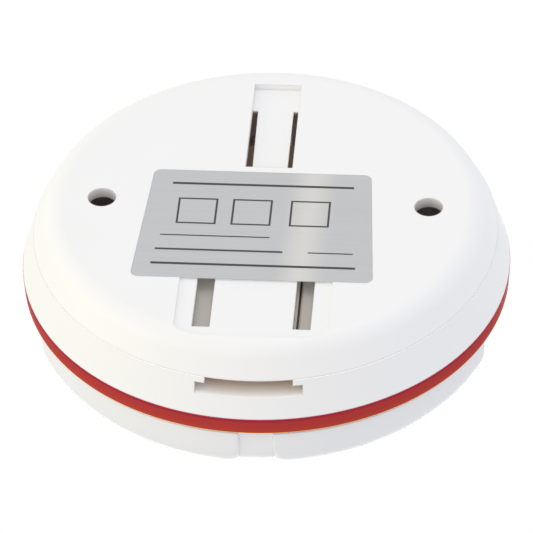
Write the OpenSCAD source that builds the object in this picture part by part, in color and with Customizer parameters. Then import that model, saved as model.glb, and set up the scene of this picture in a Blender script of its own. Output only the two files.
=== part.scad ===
// Wireless call button: a round table unit with four petal keys on a base that is fixed with two screws.
// Units are millimetres. The base stands on z = 0, keys up, and the slot in the rim faces -Y.

/* [Body] */
// Height of the belt's dome at its middle, above the table
crown_z = 28; // [27.6:0.1:30]
// Radius of the red band at its lower edge, the widest point
band_r = 43.2; // [42:0.1:46]
// How much narrower the band is at its upper edge
band_taper = 0.15; // [0:0.05:0.4]
// Height of the band's lower edge
band_z = 12.3; // [11.9:0.1:12.8]
// Height of the band
band_h = 3.4; // [3:0.1:3.8]
// Corner taken off the band's outer edges
band_edge = 0.2; // [0.05:0.05:0.3]
// How far the seam between base and housing lies in from the band
seam_inset = 2.25; // [2:0.05:2.5]
// Height of the seam
seam_z = 5.5; // [5.2:0.1:5.7]
// How far the housing lies in from the band where the two meet
band_step = 0.05; // [0.02:0.01:0.15]
// Open width of the seam
seam_gap = 0.15; // [0.1:0.05:0.3]
// Wall of the lower housing at the seam
housing_wall = 1.65; // [1.4:0.05:1.8]

/* [Base cover] */
// How far the edge of the flat underside lies in from the band
foot_inset = 7.6; // [7.2:0.1:8.6]
// Radius of the soft shoulder round the underside
foot_round = 4; // [3:0.1:4.4]
// Thickness of the floor
base_floor = 2.1; // [1.9:0.05:2.15]
// How far the floor's inner corner lies in from the edge of the flat
floor_inset = 0.4; // [0.2:0.1:1]
// Wall of the base above its shoulder
base_wall = 2; // [1.6:0.1:2.2]
// Width of the lip that centres the housing
lip_w = 1.1; // [0.8:0.1:1.4]
// Height of the lip above the seam
lip_h = 1.6; // [1:0.1:1.7]
// Radial play of the housing over the lip
lip_play = 0.25; // [0.15:0.05:0.4]
// Diameter of the two fixing holes
fix_hole_d = 5; // [3:0.1:6]
// Distance between the two fixing holes
fix_spacing = 57.5; // [54:0.5:60]

/* [Far channel] */
// Width of the channel
channel_w = 8.35; // [6:0.05:12]
// Distance of the channel's near end from the centre
channel_y = 9.7; // [9.5:0.1:12]
// Distance of the channel's far end from the edge of the flat underside
channel_edge = 2.2; // [1.6:0.1:4]
// Depth of the channel
channel_depth = 1.1; // [0.6:0.05:1.3]
// Length of the spring tongue in the channel
tongue_len = 17.3; // [10:0.1:17.5]
// Width of the slot round the tongue
tongue_gap = 0.95; // [0.6:0.05:1.2]
// How much narrower the tongue is at its free end, on its +X side
tongue_taper = 0.2; // [0:0.05:0.6]
// Height of the nib on the tongue's free end, above the floor
nib_h = 1.2; // [0.5:0.1:2]
// Length of the nib along the tongue
nib_len = 1.6; // [1:0.1:3]

/* [Near recess] */
// Width of the recess
recess_w = 26.4; // [24:0.1:30]
// How far the recess starts under the label's near edge
recess_start = 0.05; // [0.03:0.01:0.1]
// How far the recess's outer edge lies past the edge of the flat underside
recess_reach = 0.9; // [0.5:0.1:1.2]
// Depth of the recess
recess_depth = 0.4; // [0.2:0.05:0.8]
// Corner radius of the recess
recess_corner = 2; // [1:0.1:3]
// Width of each slot in the recess
slot_w = 3.05; // [2:0.05:3.8]
// Distance between the middles of the two slots
slot_spacing = 17.2; // [14:0.1:19]
// Distance of the slots' inner ends from the centre
slot_y = 18.4; // [18.1:0.1:19.5]
// Distance of the slots' outer ends from the recess's outer edge
slot_edge = 3.4; // [3.2:0.1:6]

/* [Rim slot] */
// Width of the slot's wide part
rim_w = 18.4; // [15.6:0.1:20]
// Width of the slot's neck at the seam
rim_neck_w = 15; // [10:0.1:15.4]
// Height of the neck above the seam
rim_neck_h = 1.1; // [0.5:0.1:1.5]
// Height of the whole slot above the seam
rim_h = 3.05; // [2.2:0.05:3.3]
// Depth of the pocket behind the slot, in from the seam radius
rim_pocket = 4.2; // [3:0.1:5]
// Wall of the pocket
rim_wall = 1.2; // [0.8:0.1:1.5]

/* [Label] */
// Width of the label at its far edge
label_w_far = 38.3; // [30:0.1:40]
// Width of the label at its near edge
label_w_near = 41.8; // [30:0.1:43]
// Length of the label
label_len = 29.1; // [20:0.1:29.5]
// Sideways place of the label's middle
label_x = 0.9; // [-2:0.1:2]
// Distance of the label's far edge from the centre
label_y = 8.2; // [7:0.1:8.6]
// Thickness of the label
label_t = 0.15; // [0.08:0.01:0.25]
// Corner radius of the label
label_corner = 1.3; // [0.5:0.1:3]
// Play round the label in its bed, and its depth below the face
label_play = 0.03; // [0.02:0.01:0.06]

/* [Keys] */
// Radius of the keys, in from the band's upper edge
key_inset = 0.7; // [0.4:0.05:1]
// Rounding of the keys' shoulder
key_round = 8.5; // [8:0.1:8.8]
// Height of the middle of that rounding
key_round_z = 19.1; // [18.8:0.1:19.2]
// How far the keys' dome stands above the belt at the centre
key_rise = 0.3; // [0.1:0.05:0.6]
// Wall of a key's top
key_wall = 1.5; // [1.35:0.05:1.6]
// Wall of a key's skirt
key_skirt = 1.4; // [1.2:0.05:1.5]
// Radius of a key's inner corner in plan
key_corner = 3; // [2:0.1:4]
// Radius of a key's two outer corners in plan
key_tip = 1.6; // [1.2:0.1:1.8]
// Turn of the upper pieces against the slot in the rim
top_turn = -1.5; // [-4:0.5:4]
// Gap between a key and the housing beside it
key_gap = 0.2; // [0.15:0.05:0.4]
// How far a key travels when it is pressed
key_travel = 0.5; // [0.3:0.05:0.6]
// Gap left under a pressed key
key_foot_gap = 0.15; // [0.1:0.05:0.3]
// Diameter of the stem that presses the switch
stem_d = 5; // [4:0.1:6]
// Diameter of the two guide pins of a key
guide_d = 2.4; // [2:0.1:3]
// Distance of a guide pin from the web or the belt beside it
guide_inset = 4.1; // [3.8:0.1:4.4]
// Radial play of stem and guides in the deck
guide_play = 0.1; // [0.08:0.01:0.2]
// How far the hooks lie in from the housing's spigot
hook_inset = 4.4; // [4:0.1:5]
// Sideways place of the hook by the web
hook_x = 9; // [8:0.1:11]
// Distance of the other hook from the belt
hook_side = 3.1; // [2.9:0.1:3.5]
// Width of a key's hook
hook_w = 3; // [2:0.1:4]
// Thickness of a key's hook
hook_t = 1.2; // [1:0.1:1.6]
// How far a hook's barb reaches under the deck
hook_barb = 0.7; // [0.5:0.05:1]
// Height of the barb
hook_barb_h = 1.2; // [0.8:0.1:1.6]
// Room round a hook in the deck
hook_room = 0.3; // [0.2:0.05:0.4]
// Play of the barb under the deck
hook_play = 0.05; // [0.03:0.01:0.1]

/* [Top housing] */
// Width of the belt between the front and the back keys
belt_w = 33; // [31:0.5:35]
// Rounding of the belt's shoulder
belt_round = 10; // [9:0.1:10.5]
// How far the belt lies in from the band at its widest
belt_inset = 1.7; // [1.4:0.1:2]
// Height of the middle of the belt's rounding
belt_round_z = 15.9; // [15.8:0.1:16.3]
// Width of the web between two neighbouring keys
web_w = 5.8; // [5:0.1:8]
// How far the web lies below the keys
web_drop = 0.6; // [0.4:0.05:0.7]
// Wall of the top housing
top_wall = 1.6; // [1.4:0.05:1.8]
// How much thicker the belt's crown is than its sides
belt_extra = 0.2; // [0.1:0.05:0.3]
// How far the belt's hollow lies in from the spigot's bore
belt_step = 0.5; // [0.4:0.1:0.8]
// Radial width of the spigot's ledge in the lower housing
spigot_ledge = 0.9; // [0.7:0.1:1.1]
// Radial play between the spigot and what it enters
spigot_play = 0.15; // [0.1:0.05:0.2]
// Radial gap between the spigot and the keys' skirts above it
spigot_gap = 0.3; // [0.25:0.05:0.5]
// How far the spigot reaches below the band
spigot_len = 1.3; // [1:0.1:1.6]
// Thickness of the flange that clamps the band
flange_t = 0.5; // [0.4:0.05:0.7]
// How far the flange's edge lies in from the band's upper edge
flange_inset = 1; // [0.9:0.1:1.3]
// Radial play between the flange and the band
flange_play = 0.05; // [0.03:0.01:0.1]
// Thickness of the deck under the keys
deck_t = 1.4; // [1.2:0.1:1.6]
// How far the deck's underside lies below the switch plungers
deck_drop = 0.6; // [0.5:0.1:0.8]
// Corner taken off the deck at its outer edge
deck_corner = 2; // [1.6:0.1:2.2]
// Diameter of the dish in the middle of the belt
dish_d = 22; // [16:0.5:26]
// Depth of that dish
dish_depth = 0.35; // [0.1:0.05:0.5]
// Diameter of the indicator lens
lens_d = 6; // [4:0.1:7]
// Diameter of the lens's flange under the shell
lens_flange_d = 8.4; // [7.5:0.1:10]
// Thickness of the lens's flange
lens_flange_t = 1; // [0.8:0.1:1.2]
// Play of the lens in its hole and under the shell
lens_play = 0.05; // [0.03:0.01:0.1]
// How far the lens stands out of its dish
lens_out = 0.1; // [0:0.05:0.2]
// Diameter of the light guide under the lens
guide_rod_d = 4; // [3.5:0.1:4.5]
// Gap between the light guide and the diode
rod_gap = 0.4; // [0.2:0.1:0.8]

/* [Circuit board] */
// Gap between the board and the pillars of the housing
board_gap = 0.75; // [0.5:0.05:1.2]
// Thickness of the board
board_t = 1.6; // [1.2:0.1:1.7]
// Sideways distance of a switch from the centre
switch_x = 15; // [14:0.1:16]
// Front-to-back distance of a switch from the centre
switch_y = 23; // [22:0.1:23.5]
// Side of a switch body
switch_side = 6; // [5.8:0.1:6.4]
// Height of a switch body
switch_h = 3.5; // [3.2:0.1:3.6]
// Diameter of a switch's plunger
plunger_d = 3.4; // [3:0.1:3.8]
// How far a plunger stands out of its switch
plunger_out = 1; // [0.9:0.1:1.2]
// How far a plunger reaches down into its switch
plunger_in = 0.8; // [0.6:0.1:1.2]
// Reach of a switch's legs
pad_out = 1.3; // [0.8:0.1:1.5]
// Sideways distance of a board screw from the centre
board_screw_x = 22; // [20:0.1:24]
// Front-to-back distance of a board screw from the centre
board_screw_y = 8; // [7:0.1:9]
// Side-to-side size of the encoder chip
chip_w = 8.7; // [5:0.1:9]
// Front-to-back size of the encoder chip
chip_len = 3.9; // [3.5:0.1:4.1]
// Height of the encoder chip
chip_h = 1.5; // [1.2:0.1:1.8]
// Distance from leg to leg of the chip
leg_pitch = 1.27; // [1:0.01:1.27]
// Width of a leg
leg_w = 0.4; // [0.3:0.05:0.5]
// Reach of a leg
leg_out = 1; // [0.6:0.1:1.4]
// Thickness of a leg
leg_t = 0.3; // [0.2:0.05:0.4]
// Diameter of the resonator can
can_d = 8.6; // [7:0.1:9]
// Height of the resonator can
can_h = 3.2; // [2.5:0.1:4]
// Width of the can's rim
can_rim = 0.4; // [0.2:0.05:0.5]
// Sideways distance of chip and can from the centre
chip_x = 15; // [14:0.1:16]
// Distance behind the centre of the row with chip and can
row_y = 18; // [17:0.1:20]
// Distance from part to part in the rows of small parts
part_pitch = 3; // [2.4:0.1:3.2]
// Distance from row to row of small parts
part_row = 4; // [3:0.1:6]
// Size of a small part
part_size = [1.2, 2, 0.8];
// Diameter of the indicator diode
led_d = 3; // [2.5:0.1:3.4]
// Height of the indicator diode
led_h = 4.8; // [4:0.1:5.2]
// Width and height of the diode's rim
led_rim = 0.8; // [0.6:0.1:1]

/* [Battery] */
// Diameter of the battery
cell_d = 10.3; // [9.8:0.1:10.3]
// Length of the battery without its nub
cell_len = 27.6; // [26:0.1:28]
// Diameter of the battery's nub
nub_d = 4; // [3:0.1:5]
// Length of the battery's nub
nub_len = 0.9; // [0.5:0.1:1.2]
// Room around the battery
cell_play = 0.1; // [0.08:0.01:0.2]
// Wall of the battery tray
tray_wall = 1; // [0.8:0.1:1.1]
// Width of the tray from front to back
tray_w = 14; // [13.5:0.1:14.2]
// Distance of the tray's middle from the housing's inner wall
tray_inset = 14.8; // [14.7:0.1:15]
// Side of the contact plate
contact_side = 7; // [6:0.1:7.4]
// Thickness of the battery lid
lid_t = 0.75; // [0.6:0.05:0.8]
// Width of the groove across the lid
lid_groove_w = 0.65; // [0.3:0.05:0.8]
// Sideways place of that groove
lid_groove_x = -7.8; // [-9:0.05:-6]
// Depth of that groove
lid_groove_depth = 0.4; // [0.2:0.05:0.5]
// Gap between the battery lid and the base's floor
lid_gap = 0.35; // [0.3:0.05:0.5]
// Thickness of the contact plate
contact_t = 0.3; // [0.2:0.05:0.4]
// Room for the battery's spring
spring_len = 1.6; // [1.4:0.1:2]
// Wire diameter of the battery's spring
spring_wire = 0.5; // [0.4:0.05:0.6]
// Radius of the spring's widest turn
spring_wide_r = 3.9; // [3.4:0.1:4.2]
// Radius of the spring's narrowest turn
spring_narrow_r = 2.1; // [1.8:0.1:2.6]

/* [Antenna] */
// Turns of the antenna coil
coil_turns = 10; // [6:1:12]
// Distance from turn to turn
coil_pitch = 2; // [1.6:0.1:2.2]
// Radius of the coil to the middle of its wire
coil_r = 2; // [1.6:0.1:2.4]
// Wire diameter of the coil
coil_wire = 0.8; // [0.6:0.1:1]
// Distance of the coil from the centre
coil_y = 6; // [3:0.1:8]

/* [Screws] */
// Diameter of a screw's shank
screw_d = 2.2; // [2:0.1:2.5]
// Diameter of a screw's head
head_d = 4.2; // [3.8:0.1:4.4]
// Height of a screw's head
head_h = 1.5; // [1.2:0.1:1.6]
// Depth of a screw in its pillar
screw_bite = 5; // [3:0.1:6]
// Room past a screw's tip in its pillar
screw_end = 0.5; // [0.3:0.1:1]
// Play of a shank in the hole that it passes
shank_play = 0.3; // [0.1:0.05:0.4]
// Diameter of a pillar
pillar_d = 5.6; // [5:0.1:6]
// How far the housing screws stand in from the spigot
lug_inset = 2.5; // [2.3:0.1:2.6]
// Angle of the housing screws from the X axis
lug_angle = 13; // [10:1:16]
// Diameter of a lug in the lower housing
lug_d = 7; // [6.4:0.1:7.2]
// Thickness of a lug
lug_t = 2; // [1.5:0.1:2.2]
// How far a lug's top lies below the ledge
lug_drop = 0.2; // [0.1:0.05:0.4]

/* [Hidden] */
$fn = 96;
round_fn = 180;
dome_fn = 900;
cut = 1;
bond = 0.02;
lap = 0.02;

// Heights of the stack, from the floor of the base to the keys
lid_z = base_floor + lid_gap;
cell_z = lid_z + lid_t + cell_play + cell_d / 2;
board_z = cell_z + cell_d / 2 + cell_play;
board_top_z = board_z + board_t;
plunger_top_z = board_top_z + switch_h + plunger_out;
deck_z = plunger_top_z - deck_drop;
deck_top_z = deck_z + deck_t;
deck_clear_z = deck_top_z + key_travel + key_foot_gap;
band_top_z = band_z + band_h;
key_foot_z = band_top_z + key_travel + key_foot_gap;
spigot_z = band_z - spigot_len;
lug_top_z = spigot_z - lug_drop;

// Radii of the shells, from the band inwards
band_top_r = band_r - band_taper;
key_r = band_top_r - key_inset;
key_skirt_r = key_r - key_skirt;
spigot_r = key_skirt_r - spigot_gap;
spigot_in_r = spigot_r - top_wall;
ledge_r = spigot_r - spigot_ledge;
seam_r = band_r - seam_inset;
housing_in_r = seam_r - housing_wall;
lip_r = housing_in_r - lip_play;
flange_r = band_top_r - flange_inset;
foot_r = band_r - foot_inset;
belt_r = band_r - belt_inset;
lug_r = spigot_in_r - lug_inset;
board_r = lug_r - pillar_d / 2 - board_gap;

// Reach of the channel, the recess and its slots, and the middle of the tray
channel_len = foot_r - channel_edge - channel_y;
recess_y = label_len - label_y - recess_start;
recess_r = foot_r + recess_reach;
slot_len = recess_r - slot_edge - slot_y;
tray_y = housing_in_r - tray_inset;

// Middles of the shoulder roundings
key_round_r = key_r - key_round;
belt_round_r = belt_r - belt_round;

// Point where the base's bevel leaves its shoulder
bevel_far = norm([seam_r - foot_r, seam_z - foot_round]);
bevel_angle = atan2(seam_z - foot_round, seam_r - foot_r) - acos(foot_round / bevel_far);
bevel_r = foot_r + foot_round * cos(bevel_angle);
bevel_z = foot_round + foot_round * sin(bevel_angle);

// Corner of the tray, and places of the pillars' tops
tray_len = contact_t + nub_len + cell_len + spring_len + 2 * tray_wall;
tray_x = -tray_len / 2;
coil_z = board_z - coil_r - coil_wire;
pillar_r = screw_d / 2 + bond;

// Places of the guides and hooks of a key, in the quarter where x and y are positive
hook_r = spigot_in_r - hook_inset;
hook_side_y = belt_w / 2 + hook_side;
hook_places = [[hook_x, sqrt(pow(hook_r, 2) - pow(hook_x, 2))],
    [sqrt(pow(hook_r, 2) - pow(hook_side_y, 2)), hook_side_y]];
guide_places = [[web_w / 2 + guide_inset, belt_w / 2 + guide_inset],
    [hook_places[1][0] - guide_inset, belt_w / 2 + guide_inset]];
board_screw_places = [for (sx = [-1, 1], sy = [-1, 1]) [sx * board_screw_x, sy * board_screw_y]];
lug_angles = [for (turn = [0, 180], side = [-1, 1]) turn + side * lug_angle];

// Radius of a dome that runs into a shoulder rounding, lapped a little so that the two cross
function dome_r(round_r, round_z, rounding, crown) =
    let (k = crown - round_z + lap)
    (round_r * round_r + k * k - rounding * rounding) / (2 * (k - rounding));

// Half section of a domed shell's outside, drawn in by inset, from low_z upwards
module dome_section(round_r, round_z, rounding, crown, inset, low_z) {
    big_r = dome_r(round_r, round_z, rounding, crown);
    middle_z = crown - big_r;
    reach = (big_r + 3) / norm([round_r, round_z - middle_z]);
    far = [round_r * reach, middle_z + (round_z - middle_z) * reach];
    intersection() {
        translate([0, middle_z])
            circle(r = big_r - inset, $fn = dome_fn);
        union() {
            translate([0, low_z])
                square([round_r + rounding - inset, round_z - low_z]);
            polygon([[0, low_z], [round_r, low_z], [round_r, round_z], far, [0, far[1]]]);
            translate([round_r, round_z])
                circle(r = rounding - inset);
        }
        translate([0, low_z])
            square([round_r + rounding + cut, crown]);
    }
}

module key_dome(inset, low_z) {
    rotate_extrude($fn = round_fn)
        dome_section(key_round_r, key_round_z, key_round, crown_z + key_rise, inset, low_z);
}

module belt_dome(inset, low_z) {
    rotate_extrude($fn = round_fn)
        dome_section(belt_round_r, belt_round_z, belt_round, crown_z, inset, low_z);
}

// Outline of straight sides with round corners; points run anticlockwise
module rounded_outline(points, corner) {
    count = len(points);
    corners = [for (i = [0 : count - 1])
        let (p = points[i],
            a = points[(i + count - 1) % count] - p,
            b = points[(i + 1) % count] - p,
            ua = a / norm(a),
            ub = b / norm(b),
            half = acos(ua * ub) / 2,
            mid = (ua + ub) / norm(ua + ub))
        [p + mid * corner / sin(half), ua, ub]];
    for (c = corners)
        translate(c[0])
            circle(r = corner);
    polygon([for (c = corners) each [
        c[0] + corner * [c[1][1], -c[1][0]] * -1,
        c[0] + corner * [c[2][1], -c[2][0]]]]);
}

// A box that is centred sideways and runs from y0 and z0
module block(w, y0, len, z0, h) {
    translate([-w / 2, y0, z0])
        cube([w, len, h]);
}

// Round wire along points, with a direction square to the wire at each point
module wire(points, normals, wire_r, sides) {
    count = len(points);
    tangents = [for (i = [0 : count - 1])
        let (d = points[min(i + 1, count - 1)] - points[max(i - 1, 0)])
        d / norm(d)];
    rings = [for (i = [0 : count - 1])
        let (b0 = cross(tangents[i], normals[i]),
            b = b0 / norm(b0),
            n = cross(b, tangents[i]))
        for (k = [0 : sides - 1])
            points[i] + wire_r * (cos(360 * k / sides) * n + sin(360 * k / sides) * b)];
    sides_faces = [for (i = [0 : count - 2], k = [0 : sides - 1])
        let (a = i * sides + k,
            b = i * sides + (k + 1) % sides)
        each [[a, b, b + sides], [a, b + sides, a + sides]]];
    first = [for (k = [1 : sides - 2]) [0, k + 1, k]];
    last_ring = (count - 1) * sides;
    last = [for (k = [1 : sides - 2]) [last_ring, last_ring + k, last_ring + k + 1]];
    polyhedron(points = rings, faces = concat(sides_faces, first, last));
}

// Base cover
module base_section() {
    intersection() {
        translate([foot_r, foot_round])
            circle(r = foot_round);
        square([seam_r, seam_z]);
    }
    polygon([[0, 0], [foot_r, 0], [foot_r, foot_round], [bevel_r, bevel_z],
        [seam_r, seam_z], [0, seam_z]]);
}

module base_hollow_section() {
    rim_r = seam_r - base_wall;
    polygon([[0, base_floor], [foot_r - floor_inset, base_floor], [rim_r, seam_z],
        [rim_r, seam_z + cut], [0, seam_z + cut]]);
}

module label_outline(grow) {
    far = label_w_far / 2 + grow;
    near = label_w_near / 2 + grow;
    low = label_y - label_len - grow;
    high = label_y + grow;
    translate([label_x, 0])
        rounded_outline([[-near, low], [near, low], [far, high], [-far, high]], label_corner);
}

module recess_outline() {
    half = recess_w / 2;
    corner_y = -sqrt(pow(recess_r - recess_corner, 2) - pow(half - recess_corner, 2));
    foot = [half - recess_corner, corner_y];
    tip = foot * recess_r / norm(foot);
    intersection() {
        circle(r = recess_r, $fn = round_fn);
        polygon([[-half, -recess_y], [-half, corner_y], [-foot[0], corner_y],
            [-tip[0], tip[1] - cut], [tip[0], tip[1] - cut], [foot[0], corner_y],
            [half, corner_y], [half, -recess_y]]);
    }
    for (side = [-1, 1])
        translate([side * foot[0], corner_y])
            circle(r = recess_corner);
}

module tongue_outline() {
    half = channel_w / 2 - tongue_gap;
    free_y = channel_y + tongue_gap;
    root_y = channel_y + tongue_len + cut;
    polygon([[-half, free_y], [half - tongue_taper, free_y], [half, root_y], [-half, root_y]]);
}

module base_cover() {
    lip_root = 1;
    lip_foot_z = seam_z - lip_root;
    lip_notch = 2;
    lip_notch_len = 12;
    color("#f3f2ef")
    difference() {
        union() {
            rotate_extrude($fn = round_fn)
                difference() {
                    base_section();
                    base_hollow_section();
                }
            difference() {
                translate([0, 0, lip_foot_z])
                    cylinder(r = lip_r, h = lip_h + lip_root, $fn = round_fn);
                translate([0, 0, lip_foot_z - cut])
                    cylinder(r = lip_r - lip_w, h = lip_h + lip_root + 2 * cut, $fn = round_fn);
                block(rim_w + 2 * rim_wall + lip_notch, -seam_r, lip_notch_len, seam_z, lip_h + cut);
            }
            block(channel_w - 2 * (tongue_gap + tongue_taper), channel_y + tongue_gap, nib_len,
                base_floor - bond, nib_h + bond);
        }
        for (side = [-1, 1])
            translate([side * fix_spacing / 2, 0, -cut])
                cylinder(d = fix_hole_d, h = base_floor + 2 * cut);
        block(channel_w, channel_y, channel_len, -cut, channel_depth + cut);
        difference() {
            block(channel_w, channel_y, tongue_len, 0, base_floor + cut);
            translate([0, 0, -cut])
                linear_extrude(base_floor + nib_h + 3 * cut)
                    tongue_outline();
        }
        translate([0, 0, -cut])
            linear_extrude(recess_depth + cut)
                recess_outline();
        for (side = [-1, 1])
            translate([side * slot_spacing / 2, 0, 0])
                block(slot_w, -slot_y - slot_len, slot_len, -cut, base_floor + 2 * cut);
        translate([0, 0, -cut])
            linear_extrude(label_t + label_play + cut)
                label_outline(label_play);
    }
}

module base_label() {
    color("#b9babb")
    translate([0, 0, label_play])
        linear_extrude(label_t)
            label_outline(0);
}

// Lower housing
module lug(height) {
    cylinder(d = lug_d, h = height);
    translate([0, -lug_d / 2, 0])
        cube([seam_r - lug_r, lug_d, height]);
}

module lower_housing_section() {
    foot_z = seam_z + seam_gap;
    ledge_t = 1.2;
    knee_z = spigot_z - ledge_t;
    polygon([[housing_in_r, foot_z], [seam_r, foot_z], [band_r - band_step, band_z],
        [spigot_r + spigot_play, band_z], [spigot_r + spigot_play, spigot_z],
        [ledge_r, spigot_z], [ledge_r, knee_z], [spigot_r, knee_z - lug_drop]]);
}

module lower_housing() {
    shelf_r = seam_r - seam_gap;
    shelf_in_r = housing_in_r - cut / 2;
    neck_z = seam_z + rim_neck_h;
    color("#f1f1ee")
    difference() {
        union() {
            rotate_extrude($fn = round_fn)
                lower_housing_section();
            intersection() {
                block(rim_w + 2 * rim_wall, -seam_r, rim_pocket, seam_z + seam_gap,
                    rim_h - seam_gap + rim_wall);
                cylinder(r = shelf_r, h = band_z, $fn = round_fn);
            }
            turned()
                intersection() {
                    for (angle = lug_angles)
                        rotate([0, 0, angle])
                            translate([lug_r, 0, lug_top_z - lug_t])
                                lug(lug_t);
                    cylinder(r = shelf_r, h = band_z, $fn = round_fn);
                }
        }
        block(rim_w, -band_r, band_r - seam_r + rim_pocket + cut, neck_z, rim_h - rim_neck_h);
        block(rim_neck_w, -band_r, band_r - housing_in_r + cut, seam_z, rim_neck_h + bond);
        block(rim_w, -shelf_in_r, rim_pocket, seam_z, rim_neck_h + bond);
        turned()
            for (angle = lug_angles)
                rotate([0, 0, angle])
                    translate([lug_r, 0, lug_top_z - lug_t - cut])
                        cylinder(d = screw_d + 2 * shank_play, h = lug_t + 2 * cut);
    }
}

// Trim ring
module trim_ring() {
    in_r = spigot_r + spigot_play;
    rebate_r = flange_r + flange_play;
    color("#bb3a36")
    rotate_extrude($fn = round_fn)
        polygon([[in_r, band_z], [band_r - band_edge, band_z], [band_r, band_z + band_edge],
            [band_top_r, band_top_z - band_edge], [band_top_r - band_edge, band_top_z],
            [rebate_r, band_top_z], [rebate_r, band_top_z - flange_t],
            [in_r, band_top_z - flange_t]]);
}

// Straight sides of a key in the quarter where x and y are positive, drawn in by inset
module key_wedge(inset) {
    x0 = web_w / 2 + key_gap + inset;
    y0 = belt_w / 2 + key_gap + inset;
    polygon([[x0, y0], [band_r + cut, y0], [band_r + cut, band_r + cut], [x0, band_r + cut]]);
}

// What is taken off that plan to round its three corners
module key_corners(inset) {
    x0 = web_w / 2 + key_gap + inset;
    y0 = belt_w / 2 + key_gap + inset;
    c = max(key_tip - inset, key_tip / 2);
    inner_c = key_corner - inset;
    r = key_r - inset;
    by_web = [x0 + c, sqrt(pow(r - c, 2) - pow(x0 + c, 2))];
    by_belt = [sqrt(pow(r - c, 2) - pow(y0 + c, 2)), y0 + c];
    inner = [x0 + inner_c, y0 + inner_c];
    out = 1.4;
    difference() {
        polygon([[x0 - cut, by_web[1]], by_web, by_web * out, [x0 - cut, by_web[1] * out]]);
        translate(by_web)
            circle(r = c);
    }
    difference() {
        polygon([[by_belt[0], y0 - cut], [by_belt[0] * out, y0 - cut], by_belt * out, by_belt]);
        translate(by_belt)
            circle(r = c);
    }
    difference() {
        polygon([[x0 - cut, y0 - cut], [inner[0], y0 - cut], inner, [x0 - cut, inner[1]]]);
        translate(inner)
            circle(r = inner_c);
    }
}

module key_block(inset, low_z) {
    difference() {
        intersection() {
            key_dome(inset, low_z);
            linear_extrude(crown_z + 2)
                key_wedge(inset);
        }
        linear_extrude(crown_z + 2)
            key_corners(inset);
    }
}

module turned() {
    rotate([0, 0, top_turn])
        children();
}

module quarter(front, left) {
    mirror([left ? 1 : 0, 0, 0])
        mirror([0, front ? 1 : 0, 0])
            children();
}

module key_hook(z0, z1) {
    translate([-hook_w / 2, -hook_t / 2, z0])
        cube([hook_w, hook_t, z1 - z0]);
    translate([-hook_w / 2, -hook_t / 2 - hook_barb, z0])
        cube([hook_w, hook_t + hook_barb, hook_barb_h]);
}

module key() {
    hook_z = deck_z - hook_play - hook_barb_h;
    guide_z = deck_z - deck_drop;
    difference() {
        key_block(0, key_foot_z);
        key_block(key_wall, key_foot_z - cut);
        cylinder(r = key_skirt_r, h = deck_clear_z, $fn = round_fn);
    }
    intersection() {
        key_dome(key_wall / 2, 0);
        union() {
            translate([switch_x, switch_y, plunger_top_z])
                cylinder(d = stem_d, h = crown_z);
            for (p = guide_places)
                translate([p[0], p[1], guide_z])
                    cylinder(d = guide_d, h = crown_z);
            for (p = hook_places)
                translate([p[0], p[1], 0])
                    rotate([0, 0, atan2(p[1], p[0]) + 90])
                        key_hook(hook_z, crown_z);
        }
    }
}

module key_front_left() { color("#e4e7ea") turned() quarter(true, true) key(); }
module key_front_right() { color("#e4e7ea") turned() quarter(true, false) key(); }
module key_back_left() { color("#e4e7ea") turned() quarter(false, true) key(); }
module key_back_right() { color("#e4e7ea") turned() quarter(false, false) key(); }

// Top housing
module top_core_section() {
    in_corner = 0.7 * deck_corner;
    polygon([[spigot_in_r, spigot_z], [spigot_r, spigot_z], [spigot_r, band_top_z - flange_t],
        [flange_r, band_top_z - flange_t], [flange_r, band_top_z], [spigot_r, band_top_z],
        [spigot_r, deck_top_z - deck_corner], [spigot_r - deck_corner, deck_top_z],
        [0, deck_top_z], [0, deck_z], [spigot_in_r - in_corner, deck_z],
        [spigot_in_r, deck_z - in_corner]]);
}

module deck_holes() {
    for (front = [true, false], left = [true, false])
        quarter(front, left) {
            translate([switch_x, switch_y, deck_z - cut])
                cylinder(d = stem_d + 2 * guide_play, h = deck_t + 2 * cut);
            for (p = guide_places)
                translate([p[0], p[1], deck_z - cut])
                    cylinder(d = guide_d + 2 * guide_play, h = deck_t + 2 * cut);
            for (p = hook_places)
                translate([p[0], p[1], deck_z - cut])
                    rotate([0, 0, atan2(p[1], p[0]) + 90])
                        translate([-hook_w / 2 - hook_room, -hook_t / 2 - hook_room, 0])
                            cube([hook_w + 2 * hook_room, hook_t + 2 * hook_room, deck_t + 2 * cut]);
        }
}

// Room inside the belt, as deep as the deck allows
module belt_room() {
    shell = top_wall + belt_extra;
    room_r = spigot_in_r - belt_step;
    intersection() {
        rotate_extrude($fn = round_fn)
            intersection() {
                dome_section(belt_round_r, belt_round_z, belt_round, crown_z, shell, spigot_z);
                square([room_r, crown_z]);
            }
        block(2 * band_r, top_wall - belt_w / 2, belt_w - 2 * top_wall, 0, crown_z);
    }
}

// The webs in front and behind, each with its own room under its crown
module webs() {
    join_r = spigot_in_r + top_wall / 2;
    web_shell = top_wall + web_drop;
    difference() {
        intersection() {
            key_dome(web_drop, band_top_z);
            union() {
                block(web_w, -band_r, band_r - belt_w / 2 + top_wall / 2, band_top_z, crown_z);
                block(web_w, belt_w / 2 - top_wall / 2, band_r - belt_w / 2, band_top_z, crown_z);
            }
        }
        cylinder(r = join_r, h = deck_z + deck_t / 2, $fn = round_fn);
        intersection() {
            key_dome(web_shell, deck_z);
            block(web_w - 2 * top_wall, -join_r + top_wall, 2 * (join_r - top_wall), 0, crown_z);
        }
    }
}

module belt() {
    difference() {
        intersection() {
            belt_dome(0, band_top_z);
            block(2 * band_r, -belt_w / 2, belt_w, 0, crown_z + 1);
        }
        cylinder(r = spigot_in_r + top_wall / 2, h = deck_z + deck_t / 2, $fn = round_fn);
    }
}

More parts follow.
